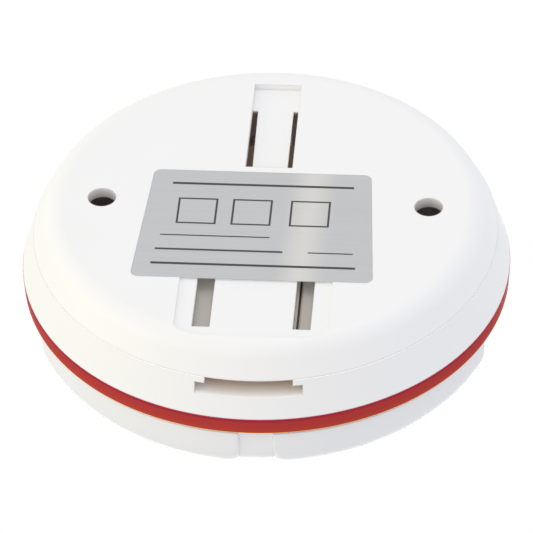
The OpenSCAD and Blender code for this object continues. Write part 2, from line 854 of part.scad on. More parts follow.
// Pillars that the screws bite into, up to the inside of the belt
module pillars() {
    intersection() {
        union() {
            for (p = board_screw_places)
                translate([p[0], p[1], board_top_z])
                    cylinder(d = pillar_d, h = crown_z);
            for (angle = lug_angles)
                rotate([0, 0, angle])
                    translate([lug_r, 0, lug_top_z])
                        cylinder(d = pillar_d, h = crown_z);
        }
        belt_dome(top_wall / 2, 0);
    }
}

module pillar_bores() {
    for (p = board_screw_places)
        translate([p[0], p[1], board_top_z - cut])
            cylinder(r = pillar_r, h = screw_bite + cut);
    for (angle = lug_angles)
        rotate([0, 0, angle])
            translate([lug_r, 0, lug_top_z - cut])
                cylinder(r = pillar_r, h = screw_bite + cut);
}

module top_housing() {
    color("#f2f2f0")
    turned()
        difference() {
            union() {
                difference() {
                    union() {
                        rotate_extrude($fn = round_fn)
                            top_core_section();
                        belt();
                        webs();
                    }
                    belt_room();
                }
                pillars();
            }
            deck_holes();
            pillar_bores();
            translate([0, 0, crown_z - dish_depth])
                cylinder(d = dish_d, h = cut);
            translate([0, 0, deck_z])
                cylinder(d = lens_d + 2 * lens_play, h = crown_z);
        }
}

// Indicator
module indicator_lens() {
    flange_z = crown_z - top_wall - belt_extra - lens_flange_t - lens_play;
    rod_z = board_top_z + led_h + rod_gap;
    color("#f7dcb0")
    union() {
        translate([0, 0, flange_z])
            cylinder(d = lens_flange_d, h = lens_flange_t);
        translate([0, 0, flange_z + lens_play])
            cylinder(d = lens_d, h = crown_z - dish_depth + lens_out - flange_z - lens_play);
        translate([0, 0, rod_z])
            cylinder(d = guide_rod_d, h = flange_z + lens_flange_t / 2 - rod_z);
    }
}

module indicator_led() {
    color("#d8584a")
    turned()
    translate([0, 0, board_top_z]) {
        cylinder(d = led_d + led_rim, h = led_rim);
        cylinder(d = led_d, h = led_h - led_d / 2);
        translate([0, 0, led_h - led_d / 2])
            sphere(d = led_d);
    }
}

// Circuit board and what stands on it
module circuit_board() {
    color("#2f5a3c")
    turned()
    difference() {
        translate([0, 0, board_z])
            cylinder(r = board_r, h = board_t, $fn = round_fn);
        for (p = board_screw_places)
            translate([p[0], p[1], board_z - cut])
                cylinder(d = screw_d + 2 * shank_play, h = board_t + 2 * cut);
    }
}

module switch_body() {
    translate([switch_x, switch_y, board_top_z]) {
        difference() {
            translate([-switch_side / 2, -switch_side / 2, 0])
                cube([switch_side, switch_side, switch_h]);
            translate([0, 0, switch_h - plunger_in - key_travel - guide_play])
                cylinder(d = plunger_d + 2 * guide_play, h = switch_h);
        }
        for (sx = [-1, 1], sy = [-1, 1])
            translate([sx * switch_side / 2, sy * (switch_side / 2 - 2 * leg_w), 0])
                block(2 * pad_out, -leg_w, 2 * leg_w, 0, leg_w);
    }
}

module switch_plunger() {
    translate([switch_x, switch_y, plunger_top_z - plunger_out - plunger_in])
        cylinder(d = plunger_d, h = plunger_out + plunger_in);
}

module switch_front_left() { color("#33353a") turned() quarter(true, true) switch_body(); }
module switch_front_right() { color("#33353a") turned() quarter(true, false) switch_body(); }
module switch_back_left() { color("#33353a") turned() quarter(false, true) switch_body(); }
module switch_back_right() { color("#33353a") turned() quarter(false, false) switch_body(); }
module plunger_front_left() { color("#ece8dd") turned() quarter(true, true) switch_plunger(); }
module plunger_front_right() { color("#ece8dd") turned() quarter(true, false) switch_plunger(); }
module plunger_back_left() { color("#ece8dd") turned() quarter(false, true) switch_plunger(); }
module plunger_back_right() { color("#ece8dd") turned() quarter(false, false) switch_plunger(); }

module encoder_chip() {
    leg_step = (chip_len + leg_out) / 2;
    color("#26272b")
    turned()
    translate([-chip_x, row_y, board_z - chip_h]) {
        block(chip_w, -chip_len / 2, chip_len, 0, chip_h);
        for (i = [-3 : 3], side = [-1, 1])
            translate([i * leg_pitch, side * leg_step, chip_h - leg_t])
                block(leg_w, -leg_out / 2, leg_out, 0, leg_t);
    }
}

module resonator_can() {
    color("#c9ccd0")
    turned()
    translate([chip_x, row_y, board_z - can_h]) {
        cylinder(d = can_d, h = can_h);
        translate([0, 0, can_h - can_rim])
            cylinder(d = can_d + 2 * can_rim, h = can_rim);
    }
}

module small_parts() {
    color("#b79a6b")
    turned()
    for (i = [-1 : 2], row = [0, 1])
        translate([i * part_pitch, row_y + row * part_row - part_size[1] / 2, board_z - part_size[2]])
            cube(part_size);
}

// Antenna coil: a leg down from the board, the turns, and a leg up again
module antenna_coil() {
    steps = 16;
    count = (coil_turns + 0.5) * steps;
    start_x = -coil_pitch * (coil_turns + 0.5) / 2;
    helix = [for (i = [0 : count])
        let (a = -360 * i / steps)
        [start_x + coil_pitch * i / steps, coil_y + coil_r * cos(a), coil_z + coil_r * sin(a)]];
    helix_normals = [for (i = [0 : count])
        let (a = -360 * i / steps)
        [0, cos(a), sin(a)]];
    head = [start_x, coil_y + coil_r, board_z];
    tail = [-start_x, coil_y - coil_r, board_z];
    color("#c98d4c")
    turned()
    wire(concat([head], helix, [tail]), concat([[0, 1, 0]], helix_normals, [[0, -1, 0]]),
        coil_wire / 2, 6);
}

// Battery and its tray
module battery_tray() {
    in_len = tray_len - 2 * tray_wall;
    wall_z = lid_z + lid_t;
    color("#a9a49b")
    translate([0, -tray_y, 0])
        difference() {
            block(tray_len, -tray_w / 2, tray_w, wall_z, board_z - wall_z);
            block(in_len, -tray_w / 2 + tray_wall, tray_w - 2 * tray_wall, wall_z - cut,
                board_z - wall_z + 2 * cut);
        }
}

module battery_lid() {
    color("#aca79e")
    translate([0, -tray_y, 0])
        difference() {
            block(tray_len, -tray_w / 2, tray_w, lid_z, lid_t);
            translate([lid_groove_x, 0, 0])
                block(lid_groove_w, -tray_w / 2 - cut, tray_w + 2 * cut, lid_z - cut,
                    lid_groove_depth + cut);
        }
}

module battery() {
    color("#c7b27a")
    translate([tray_x + tray_wall + spring_len, -tray_y, cell_z])
        rotate([0, 90, 0]) {
            cylinder(d = cell_d, h = cell_len);
            cylinder(d = nub_d, h = cell_len + nub_len);
        }
}

module battery_contact() {
    color("#cfd2d4")
    translate([-tray_x - tray_wall - contact_t, -tray_y, cell_z])
        translate([0, -contact_side / 2, -contact_side / 2])
            cube([contact_t, contact_side, contact_side]);
}

module battery_spring() {
    turns = 2.5;
    steps = 24;
    x0 = tray_x + tray_wall + spring_wire / 2;
    run = spring_len - spring_wire;
    count = turns * steps;
    points = [for (i = [0 : count])
        let (a = 360 * i / steps,
            r = spring_wide_r - (spring_wide_r - spring_narrow_r) * i / count)
        [x0 + run * i / count, -tray_y + r * cos(a), cell_z + r * sin(a)]];
    normals = [for (i = [0 : count])
        let (a = 360 * i / steps)
        [0, cos(a), sin(a)]];
    color("#d3d5d7")
    wire(points, normals, spring_wire / 2, 6);
}

// Screws, one group for the board and one for the housing
module screw(shank) {
    translate([0, 0, -head_h])
        cylinder(d = head_d, h = head_h);
    cylinder(d = screw_d, h = shank);
}

module board_screws() {
    color("#b9bcc0")
    turned()
        for (p = board_screw_places)
            translate([p[0], p[1], board_z])
                screw(board_t + screw_bite - screw_end);
}

module housing_screws() {
    color("#b9bcc0")
    turned()
        for (angle = lug_angles)
            rotate([0, 0, angle])
                translate([lug_r, 0, lug_top_z - lug_t])
                    screw(lug_t + screw_bite - screw_end);
}

base_cover();
base_label();
lower_housing();
trim_ring();
top_housing();
key_front_left();
key_front_right();
key_back_left();
key_back_right();
switch_front_left();
switch_front_right();
switch_back_left();
switch_back_right();
plunger_front_left();
plunger_front_right();
plunger_back_left();
plunger_back_right();
circuit_board();
encoder_chip();
resonator_can();
small_parts();
antenna_coil();
indicator_led();
indicator_lens();
battery_tray();
battery_lid();
battery();
battery_spring();
battery_contact();
board_screws();
housing_screws();
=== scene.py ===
"""Looks of a wireless call button: a round table unit with four petal keys on a screwed base cover."""
import math

import bmesh
import bpy
from mathutils import Matrix, Vector


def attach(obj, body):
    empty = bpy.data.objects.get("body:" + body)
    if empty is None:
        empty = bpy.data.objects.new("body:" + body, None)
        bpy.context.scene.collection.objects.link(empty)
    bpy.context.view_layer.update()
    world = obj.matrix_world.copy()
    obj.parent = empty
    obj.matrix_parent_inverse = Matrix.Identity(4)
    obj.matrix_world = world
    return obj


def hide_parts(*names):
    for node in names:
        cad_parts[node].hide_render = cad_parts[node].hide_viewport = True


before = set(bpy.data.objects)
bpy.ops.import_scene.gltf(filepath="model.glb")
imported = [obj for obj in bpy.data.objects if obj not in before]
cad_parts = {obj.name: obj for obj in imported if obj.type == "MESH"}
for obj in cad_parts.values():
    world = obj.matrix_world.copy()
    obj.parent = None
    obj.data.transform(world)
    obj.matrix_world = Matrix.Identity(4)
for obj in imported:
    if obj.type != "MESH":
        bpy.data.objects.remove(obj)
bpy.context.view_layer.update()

MM = 0.001

# Sizes that the dressed pieces share with the solids, in millimetres
SEAM_R, SEAM_Z = 40.95, 5.5
BAND_R, BAND_Z, BAND_TOP_Z = 43.2, 12.3, 15.7
FOOT_R = 35.6
KEY_R, KEY_ROUND, KEY_ROUND_Z, KEY_CROWN = 42.35, 8.5, 19.1, 28.3
KEY_WALL, KEY_SKIRT, KEY_FOOT_Z, KEY_CLEAR_Z = 1.5, 1.4, 16.35, 21.25
KEY_X, KEY_Y, KEY_TIP, KEY_CORNER = 2.906, 16.55, 0.35, 1.7
KEY_EDGE = 1.9
KEY_MIDDLE = (17.5, 26.0)
LID_Z, LID_GROOVE_X = 2.45, -7.8
TOP_TURN = math.radians(-1.5)

NO_GLOW = (0.0, 0.0, 0.0)
SEAM_GLOW = (0.24, 0.235, 0.22)


# ---------------------------------------------------------------- shader groups
def new_group(name, inputs, outputs):
    """Shader group with named inputs and outputs, and its two end nodes."""
    group = bpy.data.node_groups.new(name, "ShaderNodeTree")
    for label, kind, value in inputs:
        socket = group.interface.new_socket(label, in_out="INPUT", socket_type=kind)
        socket.default_value = value
    for label, kind in outputs:
        group.interface.new_socket(label, in_out="OUTPUT", socket_type=kind)
    start = group.nodes.new("NodeGroupInput")
    end = group.nodes.new("NodeGroupOutput")
    return group, start, end


def math_node(tree, operation, a, b=None, c=None, clamp=False):
    node = tree.nodes.new("ShaderNodeMath")
    node.operation = operation
    node.use_clamp = clamp
    for index, value in enumerate((a, b, c)):
        if value is None:
            continue
        if isinstance(value, (int, float)):
            node.inputs[index].default_value = value
        else:
            tree.links.new(value, node.inputs[index])
    return node.outputs[0]


def mix_colour(tree, factor, a, b, blend="MIX"):
    node = tree.nodes.new("ShaderNodeMix")
    node.data_type = "RGBA"
    node.blend_type = blend
    for socket, value in ((node.inputs[0], factor), (node.inputs[6], a), (node.inputs[7], b)):
        if isinstance(value, (int, float)):
            socket.default_value = value
        elif isinstance(value, tuple):
            socket.default_value = (*value, 1)
        else:
            tree.links.new(value, socket)
    return node.outputs[2]


def ramp_between(tree, value, low, high):
    """Smooth mask that is 0 at low and 1 at high."""
    node = tree.nodes.new("ShaderNodeMapRange")
    node.interpolation_type = "SMOOTHSTEP"
    tree.links.new(value, node.inputs[0])
    node.inputs[1].default_value = low
    node.inputs[2].default_value = high
    return node.outputs[0]


def above(tree, value, limit):
    return math_node(tree, "GREATER_THAN", value, limit)


def below(tree, value, limit):
    return math_node(tree, "LESS_THAN", value, limit)


def size_of(tree, value):
    return math_node(tree, "ABSOLUTE", value)


def all_of(tree, mask, *others):
    """Mask that is 1 where every one of the masks is 1."""
    for other in others:
        mask = math_node(tree, "MULTIPLY", mask, other)
    return mask


def choose(tree, mask, when_0, when_1):
    """One of two values, by a mask of 0 or 1."""
    return math_node(tree, "MULTIPLY_ADD", mask, math_node(tree, "SUBTRACT", when_1, when_0), when_0)


def grey_of(tree, value):
    """The same value in all three channels of a colour."""
    combine = tree.nodes.new("ShaderNodeCombineColor")
    for socket in combine.inputs:
        tree.links.new(value, socket)
    return combine.outputs[0]


def face_direction(tree):
    """The three parts of the direction that a face looks in."""
    geometry = tree.nodes.new("ShaderNodeNewGeometry")
    split = tree.nodes.new("ShaderNodeSeparateXYZ")
    tree.links.new(geometry.outputs["True Normal"], split.inputs[0])
    return split.outputs


def object_place(tree):
    place = tree.nodes.new("ShaderNodeTexCoord")
    return place.outputs["Object"]


def noise(tree, vector, scale, detail=2.0, roughness=0.5):
    node = tree.nodes.new("ShaderNodeTexNoise")
    tree.links.new(vector, node.inputs["Vector"])
    if isinstance(scale, (int, float)):
        node.inputs["Scale"].default_value = scale
    else:
        tree.links.new(scale, node.inputs["Scale"])
    node.inputs["Detail"].default_value = detail
    node.inputs["Roughness"].default_value = roughness
    return node.outputs["Fac"]


def make_moulded_skin():
    """Spark-eroded mould texture: a fine grain over slow waves left by the cooling of the plastic."""
    group, start, end = new_group(
        "moulded skin",
        [("Colour", "NodeSocketColor", (0.8, 0.8, 0.8, 1)), ("Grain Size", "NodeSocketFloat", 0.25),
         ("Drift", "NodeSocketFloat", 0.03), ("Gloss Spread", "NodeSocketFloat", 0.08),
         ("Roughness", "NodeSocketFloat", 0.4)],
        [("Colour", "NodeSocketColor"), ("Roughness", "NodeSocketFloat"), ("Height", "NodeSocketFloat")])
    place = object_place(group)
    scale = math_node(group, "DIVIDE", 1000.0, start.outputs["Grain Size"])
    grain = noise(group, place, scale, 3.0, 0.55)
    waves = noise(group, place, 55.0, 2.0, 0.5)
    flow = noise(group, place, 240.0, 3.0, 0.6)
    shift = math_node(group, "SUBTRACT", waves, 0.5)
    tone = math_node(group, "MULTIPLY_ADD", shift, start.outputs["Drift"], 1.0)
    speck = math_node(group, "SUBTRACT", grain, 0.5)
    speck = math_node(group, "MULTIPLY", speck, start.outputs["Drift"])
    tone = math_node(group, "ADD", tone, speck)
    colour = mix_colour(group, 1.0, start.outputs["Colour"], grey_of(group, tone), "MULTIPLY")
    spread = math_node(group, "SUBTRACT", flow, 0.5)
    spread = math_node(group, "MULTIPLY", spread, start.outputs["Gloss Spread"])
    rough = math_node(group, "ADD", start.outputs["Roughness"], spread, clamp=True)
    height = math_node(group, "MULTIPLY_ADD", grain, 0.7, math_node(group, "MULTIPLY", flow, 0.3))
    group.links.new(colour, end.inputs["Colour"])
    group.links.new(rough, end.inputs["Roughness"])
    group.links.new(height, end.inputs["Height"])
    return group


def make_soft_edges():
    """The small radius that every moulded edge has, as a normal."""
    group, start, end = new_group(
        "soft edges", [("Radius", "NodeSocketFloat", 0.3)], [("Normal", "NodeSocketVector")])
    bevel = group.nodes.new("ShaderNodeBevel")
    bevel.samples = 6
    radius = math_node(group, "MULTIPLY", start.outputs["Radius"], MM)
    group.links.new(radius, bevel.inputs["Radius"])
    group.links.new(bevel.outputs[0], end.inputs["Normal"])
    return group


def make_inner_shade():
    """Warm shade that gathers on walls that lie deep in an opening."""
    group, start, end = new_group(
        "inner shade",
        [("Colour", "NodeSocketColor", (0.8, 0.8, 0.8, 1)),
         ("Shade", "NodeSocketColor", (0.3, 0.2, 0.15, 1)),
         ("Depth", "NodeSocketFloat", 0.0), ("Full Depth", "NodeSocketFloat", 3.0)],
        [("Colour", "NodeSocketColor"), ("Mask", "NodeSocketFloat")])
    share = math_node(group, "DIVIDE", start.outputs["Depth"], start.outputs["Full Depth"], clamp=True)
    mask = math_node(group, "POWER", share, 0.8)
    colour = mix_colour(group, mask, start.outputs["Colour"], start.outputs["Shade"])
    group.links.new(colour, end.inputs["Colour"])
    group.links.new(mask, end.inputs["Mask"])
    return group


def make_brushed_lines():
    """Long fine lines of a brushed or rolled metal, along X."""
    group, start, end = new_group(
        "brushed lines",
        [("Line Width", "NodeSocketFloat", 0.08), ("Stretch", "NodeSocketFloat", 60.0)],
        [("Mask", "NodeSocketFloat"), ("Height", "NodeSocketFloat")])
    place = object_place(group)
    split = group.nodes.new("ShaderNodeSeparateXYZ")
    group.links.new(place, split.inputs[0])
    join = group.nodes.new("ShaderNodeCombineXYZ")
    group.links.new(math_node(group, "DIVIDE", split.outputs[0], start.outputs["Stretch"]), join.inputs[0])
    group.links.new(split.outputs[1], join.inputs[1])
    group.links.new(split.outputs[2], join.inputs[2])
    scale = math_node(group, "DIVIDE", 1000.0, start.outputs["Line Width"])
    lines = noise(group, join.outputs[0], scale, 4.0, 0.6)
    broad = noise(group, join.outputs[0], 900.0, 2.0, 0.5)
    both = math_node(group, "MULTIPLY_ADD", broad, 0.35, math_node(group, "MULTIPLY", lines, 0.65))
    group.links.new(both, end.inputs["Mask"])
    group.links.new(lines, end.inputs["Height"])
    return group


SKIN = make_moulded_skin()
EDGES = make_soft_edges()
SHADE = make_inner_shade()
BRUSHED = make_brushed_lines()


def place_group(material, group, **values):
    node = material.node_tree.nodes.new("ShaderNodeGroup")
    node.node_tree = group
    for label, value in values.items():
        socket = node.inputs[label.replace("_", " ")]
        if isinstance(value, tuple):
            socket.default_value = (*value, 1)
        elif isinstance(value, (int, float)):
            socket.default_value = value
        else:
            material.node_tree.links.new(value, socket)
    return node


# ---------------------------------------------------------------- materials
def new_material(name, roughness=0.4, specular=0.5, metallic=0.0, ior=1.5):
    material = bpy.data.materials.new(name)
    material.use_nodes = True
    tree = material.node_tree
    tree.nodes.clear()
    out = tree.nodes.new("ShaderNodeOutputMaterial")
    bsdf = tree.nodes.new("ShaderNodeBsdfPrincipled")
    bsdf.inputs["Roughness"].default_value = roughness
    bsdf.inputs["Specular IOR Level"].default_value = specular
    bsdf.inputs["Metallic"].default_value = metallic
    bsdf.inputs["IOR"].default_value = ior
    tree.links.new(bsdf.outputs[0], out.inputs[0])
    return material, tree, bsdf


def add_relief(tree, bsdf, height, distance, normal=None, strength=1.0):
    bump = tree.nodes.new("ShaderNodeBump")
    bump.inputs["Distance"].default_value = distance * MM
    bump.inputs["Strength"].default_value = strength
    tree.links.new(height, bump.inputs["Height"])
    if normal is not None:
        tree.links.new(normal, bump.inputs["Normal"])
    tree.links.new(bump.outputs[0], bsdf.inputs["Normal"])
    return bump


def add_glow(tree, bsdf, colour):
    """The little light that stays in a narrow opening, which so few bounces don't carry there."""
    tree.links.new(colour, bsdf.inputs["Emission Color"])
    bsdf.inputs["Emission Strength"].default_value = 1.0


def millimetres(tree):
    """Object coordinates in millimetres as three values, and the distance from the middle axis."""
    place = object_place(tree)
    split = tree.nodes.new("ShaderNodeSeparateXYZ")
    tree.links.new(place, split.inputs[0])
    x, y, z = (math_node(tree, "MULTIPLY", s, 1000.0) for s in split.outputs)
    radius = math_node(tree, "SQRT", math_node(tree, "ADD", math_node(tree, "MULTIPLY", x, x),
                                               math_node(tree, "MULTIPLY", y, y)))
    return x, y, z, radius


def moulded_plastic(name, colour, roughness=0.4, grain=0.25, drift=0.03, depth=0.004, edge=None,
                    specular=0.5):
    material, tree, bsdf = new_material(name, roughness, specular)
    skin = place_group(material, SKIN, Colour=colour, Grain_Size=grain, Drift=drift, Roughness=roughness)
    tree.links.new(skin.outputs["Colour"], bsdf.inputs["Base Color"])
    tree.links.new(skin.outputs["Roughness"], bsdf.inputs["Roughness"])
    normal = place_group(material, EDGES, Radius=edge).outputs[0] if edge else None
    add_relief(tree, bsdf, skin.outputs["Height"], depth, normal)
    return material, tree, bsdf, skin


def shell_of_base():
    """White shell whose slot walls turn warm and dark towards the inside by painted shade, with painted
    glow in the openings and in the seam gap.
    """
    material, tree, bsdf, skin = moulded_plastic("white shell base", (0.90, 0.897, 0.889), 0.42, edge=0.35)
    x, y, z, radius = millimetres(tree)
    aside = size_of(tree, x)
    # Painted shade: upright walls inside the foot turn warm and dark the higher they lie, fast on the
    # slots' walls and slowly on the fixing holes' walls.
    upright = below(tree, size_of(tree, face_direction(tree)[2]), 0.5)
    wall = all_of(tree, upright, below(tree, radius, FOOT_R - 0.6))
    slot_depth = math_node(tree, "SUBTRACT", z, 1.14)
    hole_depth = math_node(tree, "MULTIPLY", math_node(tree, "SUBTRACT", z, 0.4), 0.12)
    depth = choose(tree, above(tree, aside, 22.0), slot_depth, hole_depth)
    shade = place_group(material, SHADE, Shade=(0.16, 0.10, 0.08), Depth=all_of(tree, wall, depth),
                        Full_Depth=0.6)
    tree.links.new(skin.outputs["Colour"], shade.inputs["Colour"])
    tree.links.new(shade.outputs["Colour"], bsdf.inputs["Base Color"])
    # Painted glow: a faint glow where the painted shade lies, and a brighter one in the seam gap.
    in_seam = all_of(tree, above(tree, z, SEAM_Z - 0.02), above(tree, radius, 38.7),
                     below(tree, z, SEAM_Z + 0.3))
    glow = mix_colour(tree, shade.outputs["Mask"], NO_GLOW, (0.045, 0.028, 0.023))
    add_glow(tree, bsdf, mix_colour(tree, in_seam, glow, SEAM_GLOW))
    # The recess has nearly sharp edges, the rest of the shell soft ones
    near_side = below(tree, y, -16.0)
    by_side = all_of(tree, above(tree, aside, 11.8), below(tree, aside, 14.8), near_side)
    by_rim = all_of(tree, above(tree, radius, 35.2), below(tree, radius, 37.8), below(tree, aside, 14.0),
                    near_side)
    by_recess = all_of(tree, math_node(tree, "MAXIMUM", by_side, by_rim), below(tree, radius, 37.8))
    edge = math_node(tree, "MULTIPLY_ADD", by_recess, -0.22, 0.3)
    for node in tree.nodes:
        if node.type == "GROUP" and node.node_tree == EDGES:
            tree.links.new(edge, node.inputs["Radius"])
    return material


def battery_box_plastic():
    """Beige grey plastic of the battery tray and its lid, dark in the groove across the lid by painted
    shade, and lightened elsewhere by a faint painted glow.
    """
    material, tree, bsdf, skin = moulded_plastic("beige grey", (0.43, 0.405, 0.37), 0.5, grain=0.3,
                                                 drift=0.06, edge=0.1)
    x, _, z, _ = millimetres(tree)
    # Painted shade: a dark strip in the groove across the lid.
    from_groove = size_of(tree, math_node(tree, "SUBTRACT", x, LID_GROOVE_X + 0.14))
    in_groove = all_of(tree, below(tree, from_groove, 0.2), above(tree, z, LID_Z + 0.03),
                       below(tree, z, LID_Z + 0.45))
    colour = mix_colour(tree, in_groove, skin.outputs["Colour"], (0.05, 0.022, 0.018))
    tree.links.new(colour, bsdf.inputs["Base Color"])
    # Painted glow that lightens the tray and lid, faint in the groove.
    add_glow(tree, bsdf, mix_colour(tree, in_groove, (0.085, 0.080, 0.072), (0.006, 0.003, 0.003)))
    return material


def shell_of_housing():
    """White shell of the lower housing, warm and dark in the pocket behind the rim slot by painted shade,
    with painted glow near the slot's mouth and in the seam gap.
    """
    material, tree, bsdf, skin = moulded_plastic("white shell housing", (0.895, 0.893, 0.888), 0.42,
                                                 edge=0.3)
    _, y, z, radius = millimetres(tree)
    # Painted shade: the colour turns warm and dark the deeper a surface lies behind the outer face.
    slope = (BAND_R - 0.05 - SEAM_R) / (BAND_Z - SEAM_Z)
    outside = math_node(tree, "MULTIPLY_ADD", math_node(tree, "SUBTRACT", z, SEAM_Z), slope, SEAM_R)
    depth = math_node(tree, "SUBTRACT", math_node(tree, "SUBTRACT", outside, radius), 0.15)
    shade = place_group(material, SHADE, Shade=(0.66, 0.51, 0.40), Depth=depth, Full_Depth=4.2)
    tree.links.new(skin.outputs["Colour"], shade.inputs["Colour"])
    tree.links.new(shade.outputs["Colour"], bsdf.inputs["Base Color"])
    # Painted glow on the down-facing faces of the rim slot near its mouth, and in the seam gap.
    facing_down = below(tree, face_direction(tree)[2], -0.6)
    in_slot = all_of(tree, below(tree, y, -30.0), facing_down, above(tree, z, SEAM_Z + 0.6))
    nearness = math_node(tree, "SUBTRACT", 1.0, math_node(tree, "DIVIDE", depth, 4.4, clamp=True))
    nearness = math_node(tree, "POWER", nearness, 2.4)
    glow = mix_colour(tree, all_of(tree, in_slot, nearness), NO_GLOW, (0.17, 0.165, 0.16))
    in_seam = all_of(tree, below(tree, z, SEAM_Z + 0.17), facing_down)
    add_glow(tree, bsdf, mix_colour(tree, in_seam, glow, SEAM_GLOW))
    return material


def red_band():
    """Red ring: darker purple-red by painted shade where it meets the housing, lighter orange by painted
    light towards its upper edge, and a thin yellow painted highlight line at that edge.
    """
    material, tree, bsdf, skin = moulded_plastic("red band", (0.45, 0.044, 0.042), 0.5, grain=0.4,
                                                 drift=0.05, depth=0.002, edge=0.1, specular=0.015)
    _, _, z, radius = millimetres(tree)
    # Painted shade: the band turns darker and purple-red near the housing.
    shade_by_housing = ramp_between(tree, z, BAND_Z + 0.9, BAND_Z)
    colour = mix_colour(tree, shade_by_housing, skin.outputs["Colour"], (0.30, 0.016, 0.035))
    # Painted light: the band turns lighter and more orange towards its upper edge.
    warm = ramp_between(tree, z, BAND_Z + 1.6, BAND_TOP_Z - 0.2)
    colour = mix_colour(tree, math_node(tree, "MULTIPLY", warm, 0.35), colour, (0.52, 0.085, 0.035))
    # Painted highlight: a thin yellow line along the upper edge.
    line = all_of(tree, ramp_between(tree, z, BAND_TOP_Z - 0.34, BAND_TOP_Z - 0.2),
                  above(tree, radius, BAND_R - 0.35))
    colour = mix_colour(tree, line, colour, (0.95, 0.62, 0.16))
    tree.links.new(colour, bsdf.inputs["Base Color"])
    # Painted glow in the joint with the housing, and a yellow painted glow on the highlight line.
    in_joint = ramp_between(tree, z, BAND_Z + 0.3, BAND_Z + 0.15)
    glow = mix_colour(tree, in_joint, NO_GLOW, (0.15, 0.012, 0.035))
    add_glow(tree, bsdf, mix_colour(tree, line, glow, (0.22, 0.15, 0.03)))
    return material


def label_foil():
    """Silver foil, brushed across, with a soft paler band of painted sheen."""
    material, tree, bsdf = new_material("label foil", 0.38, 0.5, 0.25)
    x, y, _, _ = millimetres(tree)
    brushed = place_group(material, BRUSHED, Line_Width=0.10, Stretch=60.0)
    skin = place_group(material, SKIN, Colour=(0.52, 0.525, 0.53), Grain_Size=0.5, Drift=0.05,
                       Roughness=0.38)
    # Painted sheen: a soft paler band across the foil.
    across = math_node(tree, "MULTIPLY_ADD", y, 0.04, x)
    from_band = size_of(tree, math_node(tree, "ADD", across, 8.0))
    pale = math_node(tree, "MULTIPLY", ramp_between(tree, from_band, 5.0, 0.0), 0.55)
    colour = mix_colour(tree, pale, skin.outputs["Colour"], (0.74, 0.72, 0.67))
    streak = math_node(tree, "SUBTRACT", brushed.outputs["Mask"], 0.5)
    streak = math_node(tree, "MULTIPLY_ADD", streak, 0.22, 1.0)
    colour = mix_colour(tree, 1.0, colour, grey_of(tree, streak), "MULTIPLY")
    tree.links.new(colour, bsdf.inputs["Base Color"])
    rough = math_node(tree, "MULTIPLY_ADD", brushed.outputs["Mask"], 0.2, 0.28)
    tree.links.new(rough, bsdf.inputs["Roughness"])
    add_relief(tree, bsdf, brushed.outputs["Height"], 0.003)
    return material


def steel(name, colour, roughness=0.3, line=0.06):
    """Drawn or rolled metal with fine lines."""
    material, tree, bsdf = new_material(name, roughness, 0.5, 1.0)
    brushed = place_group(material, BRUSHED, Line_Width=line, Stretch=12.0)
    skin = place_group(material, SKIN, Colour=colour, Grain_Size=0.3, Drift=0.1, Roughness=roughness)
    tree.links.new(skin.outputs["Colour"], bsdf.inputs["Base Color"])
    rough = math_node(tree, "MULTIPLY_ADD", brushed.outputs["Mask"], 0.2, roughness - 0.1)
    tree.links.new(rough, bsdf.inputs["Roughness"])
    add_relief(tree, bsdf, brushed.outputs["Height"], 0.002)
    return material


def glass_fibre_board():
    """Green board: solder mask over a woven glass cloth, with paler copper areas under it."""
    material, tree, bsdf = new_material("board green", 0.35)
    x, y, _, _ = millimetres(tree)
    weave = math_node(tree, "MULTIPLY", math_node(tree, "SINE", math_node(tree, "MULTIPLY", x, 9.0)),
                      math_node(tree, "SINE", math_node(tree, "MULTIPLY", y, 9.0)))
    copper = ramp_between(tree, noise(tree, object_place(tree), 130.0, 1.0, 0.3), 0.48, 0.52)
    colour = mix_colour(tree, copper, (0.030, 0.135, 0.055), (0.055, 0.21, 0.085))
    skin = place_group(material, SKIN, Grain_Size=0.3, Drift=0.1, Roughness=0.35)
    tree.links.new(colour, skin.inputs["Colour"])
    tree.links.new(skin.outputs["Colour"], bsdf.inputs["Base Color"])
    tree.links.new(skin.outputs["Roughness"], bsdf.inputs["Roughness"])
    add_relief(tree, bsdf, weave, 0.01)
    # Painted glow that stands in for light reaching the board through the openings, dimmer over the fixing
    # holes.
    over_hole = above(tree, size_of(tree, x), 20.0)
    add_glow(tree, bsdf, mix_colour(tree, over_hole, (0.080, 0.050, 0.042), (0.022, 0.014, 0.018)))
    return material


def lens_plastic():
    """Amber lens that lets a little light into its body."""
    material, _, bsdf, _ = moulded_plastic("lens amber", (0.86, 0.66, 0.36), 0.18, grain=0.6,
                                           depth=0.001, edge=0.2)
    bsdf.inputs["Coat Weight"].default_value = 0.4
    bsdf.inputs["Subsurface Weight"].default_value = 0.15
    bsdf.inputs["Subsurface Radius"].default_value = (0.002, 0.0012, 0.0006)
    return material


def printed_ink():
    """Dark ink, a little uneven where it lies on the foil."""
    material, tree, bsdf = new_material("label ink", 0.5)
    skin = place_group(material, SKIN, Colour=(0.035, 0.032, 0.036), Grain_Size=0.12, Drift=0.4,
                       Roughness=0.5)
    tree.links.new(skin.outputs["Colour"], bsdf.inputs["Base Color"])
    tree.links.new(skin.outputs["Roughness"], bsdf.inputs["Roughness"])
    return material


def shell_beside_web(name, colour, roughness, grain, drift, edge):
    """White shell of the top, with light kept in the narrow joints between the keys and the web."""
    material, tree, bsdf, _ = moulded_plastic(name, colour, roughness, grain, drift, edge=edge,
                                              specular=0.18)
    x, _, _, _ = millimetres(tree)
    sideways = above(tree, size_of(tree, face_direction(tree)[0]), 0.9)
    in_joint = all_of(tree, sideways, below(tree, size_of(tree, x), 4.8))
    add_glow(tree, bsdf, mix_colour(tree, in_joint, NO_GLOW, (0.14, 0.14, 0.143)))
    return material


